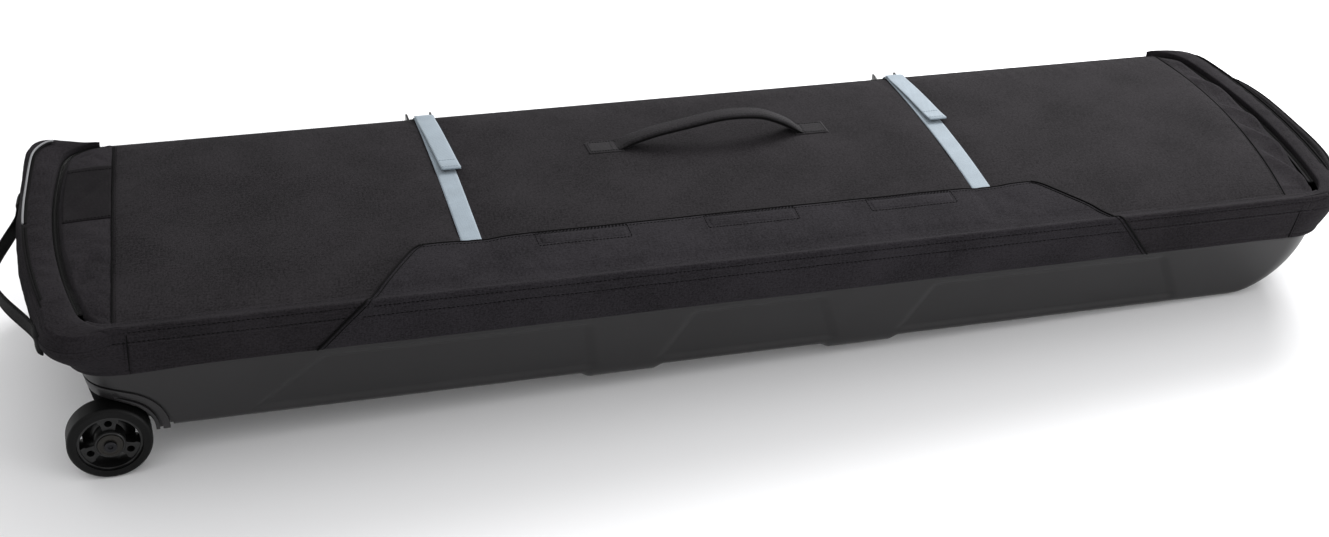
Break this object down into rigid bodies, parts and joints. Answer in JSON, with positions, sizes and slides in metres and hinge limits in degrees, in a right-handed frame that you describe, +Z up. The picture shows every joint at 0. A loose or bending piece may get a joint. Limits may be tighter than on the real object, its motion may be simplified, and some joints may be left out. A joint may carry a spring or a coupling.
{
  "type": "snowboard bag",
  "caption": "Wheeled snowboard roller bag: moulded tray, padded zip lid hinged on a long edge, two compression straps, carry and end handles, two wheels.",
  "frame": {"origin": "bottom centre of the bag, on the ground it stands on", "axes": "+X along the bag to the nose end, +Y across it to the zipped edge, +Z up; the bag stands on its wheels and the nose end of its tray, so its long axis dips by about 1.9 degrees towards +X"},
  "size_m": [1.8202, 0.462, 0.2473],
  "materials": {
    "black_fabric": "black woven polyester",
    "black_webbing": "black webbing",
    "buckle_plastic": "black acetal",
    "foam": "lined foam",
    "grey_piping": "light grey reflective piping",
    "grey_webbing": "light blue-grey webbing",
    "hub_plastic": "black moulded plastic",
    "moulded_plastic": "satin black moulded shell",
    "steel": "plated steel",
    "tyre_rubber": "black rubber",
    "zip_metal": "black enamelled metal"
  },
  "bodies": {
    "base": {"bottom_tray": "moulded_plastic", "wheel_housing_near": "moulded_plastic", "wheel_housing_far": "moulded_plastic", "axle_insert_near": "steel", "axle_insert_far": "steel", "axle_bolt_near": "steel", "axle_bolt_far": "steel", "hub_washer_near": "hub_plastic", "hub_washer_far": "hub_plastic", "floor_pad": "foam", "near_wall": "black_fabric", "far_wall": "black_fabric", "wheel_end_wall": "black_fabric", "nose_end_wall": "black_fabric", "cover_flap_side": "black_fabric", "buckle_socket_wheel_end": "buckle_plastic", "buckle_socket_nose_end": "buckle_plastic", "buckle_webbing_wheel_end": "black_webbing", "buckle_webbing_nose_end": "black_webbing", "zip_tape_wall": "black_webbing", "wheel_end_handle_tabs": "black_webbing", "nose_end_handle_tabs": "black_fabric", "wheel_end_piping": "grey_piping", "nose_end_piping": "black_fabric"},
    "wheel_near": {"tyre_near": "tyre_rubber", "wheel_hub_near": "hub_plastic", "wheel_bearings_near": "steel"},
    "wheel_far": {"tyre_far": "tyre_rubber", "wheel_hub_far": "hub_plastic", "wheel_bearings_far": "steel"},
    "lid": {"lid_panel": "black_fabric", "lid_wheel_end_panel": "black_fabric", "lid_nose_end_panel": "black_fabric", "lid_pocket_patch": "black_fabric", "cover_flap_top": "black_fabric", "flap_grip_patches": "black_fabric", "compression_strap_wheel_end": "grey_webbing", "compression_strap_nose_end": "grey_webbing", "buckle_prongs_wheel_end": "buckle_plastic", "buckle_prongs_nose_end": "buckle_plastic", "zip_tape_lid": "black_webbing", "handle_patches": "black_fabric"},
    "carry_handle": {"carry_handle": "black_fabric"},
    "wheel_end_handle": {"wheel_end_handle": "black_webbing"},
    "nose_end_handle": {"nose_end_handle": "black_fabric"},
    "zip_slider_left": {"zip_slider_left": "zip_metal"},
    "zip_slider_right": {"zip_slider_right": "zip_metal"},
    "zip_pull_left": {"zip_pull_left": "zip_metal"},
    "zip_pull_right": {"zip_pull_right": "zip_metal"}
  },
  "joints": [
    {"name": "wheel_near_spin", "type": "hinge", "parent": "base", "child": "wheel_near", "pos_m": [-0.78753, -0.19298, 0.0505], "axis": [0, 1, 0], "continuous": true},
    {"name": "wheel_far_spin", "type": "hinge", "parent": "base", "child": "wheel_far", "pos_m": [-0.78753, 0.17702, 0.0505], "axis": [0, 1, 0], "continuous": true},
    {"name": "lid_hinge", "type": "hinge", "parent": "base", "child": "lid", "pos_m": [0.01743, -0.22998, 0.18925], "axis": [0.9995, 0, -0.0327], "range_deg": [0, 110]},
    {"name": "carry_handle_tilt", "type": "hinge", "parent": "lid", "child": "carry_handle", "pos_m": [0.03716, 0.06202, 0.21121], "axis": [0.9995, 0, -0.0327], "range_deg": [-25, 25]},
    {"name": "wheel_end_handle_swing", "type": "hinge", "parent": "base", "child": "wheel_end_handle", "pos_m": [-0.84569, -0.03798, 0.19948], "axis": [0, 1, 0], "range_deg": [-60, 60]},
    {"name": "nose_end_handle_swing", "type": "hinge", "parent": "base", "child": "nose_end_handle", "pos_m": [0.87961, -0.00799, 0.15002], "axis": [0, 1, 0], "range_deg": [-40, 40]},
    {"name": "zip_slide_left", "type": "slide", "parent": "base", "child": "zip_slider_left", "axis": [0.9995, 0, -0.0327], "range_m": [-0.235, 0.06]},
    {"name": "zip_slide_right", "type": "slide", "parent": "base", "child": "zip_slider_right", "axis": [0.9995, 0, -0.0327], "range_m": [-0.06, 0.235]},
    {"name": "zip_pull_swing_left", "type": "hinge", "parent": "zip_slider_left", "child": "zip_pull_left", "pos_m": [-0.05273, 0.22162, 0.18554], "axis": [0.9995, 0, -0.0327], "range_deg": [0, 120]},
    {"name": "zip_pull_swing_right", "type": "hinge", "parent": "zip_slider_right", "child": "zip_pull_right", "pos_m": [0.0872, 0.22162, 0.18096], "axis": [0.9995, 0, -0.0327], "range_deg": [0, 120]}
  ]
}
